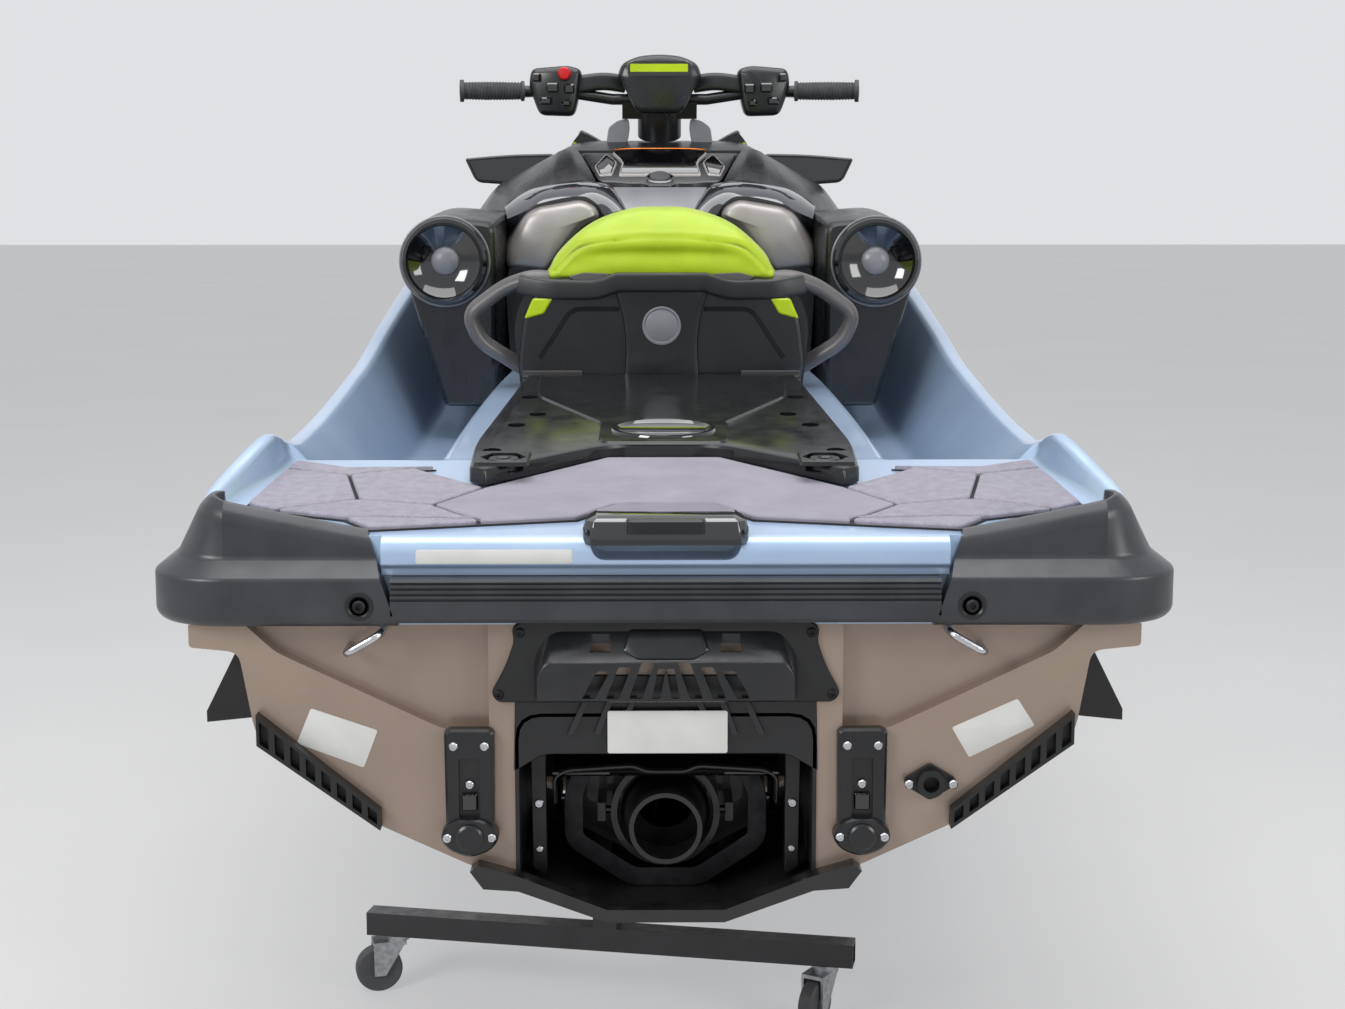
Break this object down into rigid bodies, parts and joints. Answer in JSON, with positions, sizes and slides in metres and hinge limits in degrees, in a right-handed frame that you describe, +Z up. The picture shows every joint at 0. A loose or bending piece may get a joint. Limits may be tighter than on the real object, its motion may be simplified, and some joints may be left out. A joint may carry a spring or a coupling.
{
  "type": "personal watercraft",
  "caption": "Long sit-down personal watercraft with jet drive, padded seat, swim platform and opening hood, resting on a wheeled shop dolly.",
  "frame": {"origin": "on the floor under the middle of the craft's bounding box", "axes": "+Z up, +Y towards the bow along the craft's length, +X to starboard"},
  "size_m": [1.255, 3.45, 1.556],
  "materials": {
    "hull_gelcoat": "metallic taupe gelcoat",
    "deck_gelcoat": "metallic ice-blue gelcoat",
    "bumper_plastic": "satin moulded plastic",
    "black_plastic": "moulded black plastic",
    "gloss_black": "gloss black",
    "satin_grey": "satin silver-grey",
    "mat_foam": "embossed foam mat",
    "seat_lime": "marine vinyl",
    "seat_black": "marine vinyl",
    "grip_rubber": "soft grip rubber",
    "bar_steel": "black powder coat",
    "pump_alloy": "cast, dark",
    "stainless": "bright stainless",
    "engine_alloy": "cast",
    "dolly_steel": "black paint",
    "bunk_carpet": "marine carpet",
    "caster_zinc": "zinc plate",
    "caster_rubber": "grey-black rubber"
  },
  "bodies": {
    "craft": {"hull": "hull_gelcoat", "deck": "deck_gelcoat", "rub_rail": "bumper_plastic", "bumper_corner_right": "bumper_plastic", "bumper_corner_left": "bumper_plastic", "transom_rail": "bumper_plastic", "boarding_grip": "gloss_black", "deck_mat": "mat_foam", "cargo_deck": "black_plastic", "seat_base": "seat_black", "seat_rear": "seat_lime", "seat_front": "seat_black", "grab_handles": "bumper_plastic", "console": "gloss_black", "knee_panels": "satin_grey", "speaker_pods": "black_plastic", "speakers": "gloss_black", "mirrors": "gloss_black", "sponsons": "black_plastic", "chine_tabs": "black_plastic", "drain_fittings": "black_plastic", "flush_port": "black_plastic", "jet_shroud": "black_plastic", "tow_hooks": "stainless", "bow_eye": "stainless", "ride_plate": "pump_alloy", "intake_grate": "pump_alloy", "pump_housing": "pump_alloy", "engine": "engine_alloy", "dolly_frame": "dolly_steel", "dolly_bunks": "bunk_carpet"},
    "steering": {"handlebar": "bar_steel", "grips": "grip_rubber", "control_housings": "black_plastic", "display_pod": "black_plastic"},
    "lid": {"glovebox_lid": "black_plastic"},
    "hood": {"bow_hatch": "deck_gelcoat"},
    "impeller": {"impeller": "stainless"},
    "trim_ring": {"trim_ring": "pump_alloy"},
    "nozzle": {"steering_nozzle": "pump_alloy"},
    "reverse_gate": {"reverse_gate": "gloss_black"},
    "swivel_rear_left": {"caster_fork_rear_left": "caster_zinc"},
    "wheel_rear_left": {"caster_wheel_rear_left": "caster_rubber"},
    "swivel_rear_right": {"caster_fork_rear_right": "caster_zinc"},
    "wheel_rear_right": {"caster_wheel_rear_right": "caster_rubber"},
    "swivel_front_left": {"caster_fork_front_left": "caster_zinc"},
    "wheel_front_left": {"caster_wheel_front_left": "caster_rubber"},
    "swivel_front_right": {"caster_fork_front_right": "caster_zinc"},
    "wheel_front_right": {"caster_wheel_front_right": "caster_rubber"}
  },
  "joints": [
    {"name": "steering", "type": "hinge", "parent": "craft", "child": "steering", "pos_m": [0, 0.235, 1.398], "axis": [0, -0.342, 0.9397], "range_deg": [-25, 25]},
    {"name": "glovebox_hinge", "type": "hinge", "parent": "craft", "child": "lid", "pos_m": [0, 0.128, 1.37022], "axis": [-1, 0, 0], "range_deg": [0, 55]},
    {"name": "hood_hinge", "type": "hinge", "parent": "craft", "child": "hood", "pos_m": [0, 1.425, 1.10221], "axis": [-1, 0, 0], "range_deg": [0, 45]},
    {"name": "impeller_spin", "type": "hinge", "parent": "craft", "child": "impeller", "pos_m": [0, -1.25, 0.524], "axis": [0, 1, 0], "continuous": true},
    {"name": "trim", "type": "hinge", "parent": "craft", "child": "trim_ring", "pos_m": [0, -1.56, 0.524], "axis": [1, 0, 0], "range_deg": [-8, 8]},
    {"name": "nozzle_steer", "type": "hinge", "parent": "trim_ring", "child": "nozzle", "pos_m": [0, -1.56, 0.524], "axis": [0, 0, 1], "range_deg": [-22, 22]},
    {"name": "reverse_gate", "type": "hinge", "parent": "craft", "child": "reverse_gate", "pos_m": [0, -1.56, 0.54], "axis": [1, 0, 0], "range_deg": [0, 70]},
    {"name": "swivel_rear_left", "type": "hinge", "parent": "craft", "child": "swivel_rear_left", "pos_m": [-0.43579, -0.83402, 0.094], "axis": [0, 0, 1], "continuous": true},
    {"name": "wheel_rear_left", "type": "hinge", "parent": "swivel_rear_left", "child": "wheel_rear_left", "pos_m": [-0.46692, -0.84144, 0.038], "axis": [0.2317, -0.9728, 0], "continuous": true},
    {"name": "swivel_rear_right", "type": "hinge", "parent": "craft", "child": "swivel_rear_right", "pos_m": [0.25579, -0.97598, 0.094], "axis": [0, 0, 1], "continuous": true},
    {"name": "wheel_rear_right", "type": "hinge", "parent": "swivel_rear_right", "child": "wheel_rear_right", "pos_m": [0.23902, -1.00324, 0.038], "axis": [0.8517, -0.524, 0], "continuous": true},
    {"name": "swivel_front_left", "type": "hinge", "parent": "craft", "child": "swivel_front_left", "pos_m": [-0.20455, 0.29249, 0.094], "axis": [0, 0, 1], "continuous": true},
    {"name": "wheel_front_left", "type": "hinge", "parent": "swivel_front_left", "child": "wheel_front_left", "pos_m": [-0.23181, 0.30926, 0.038], "axis": [-0.524, -0.8517, 0], "continuous": true},
    {"name": "swivel_front_right", "type": "hinge", "parent": "craft", "child": "swivel_front_right", "pos_m": [0.48703, 0.15053, 0.094], "axis": [0, 0, 1], "continuous": true},
    {"name": "wheel_front_right", "type": "hinge", "parent": "swivel_front_right", "child": "wheel_front_right", "pos_m": [0.45766, 0.13782, 0.038], "axis": [0.3971, -0.9178, 0], "continuous": true}
  ],
  "couplings": [
    {"joint": "nozzle_steer", "follows": "steering", "ratio": -0.85}
  ]
}
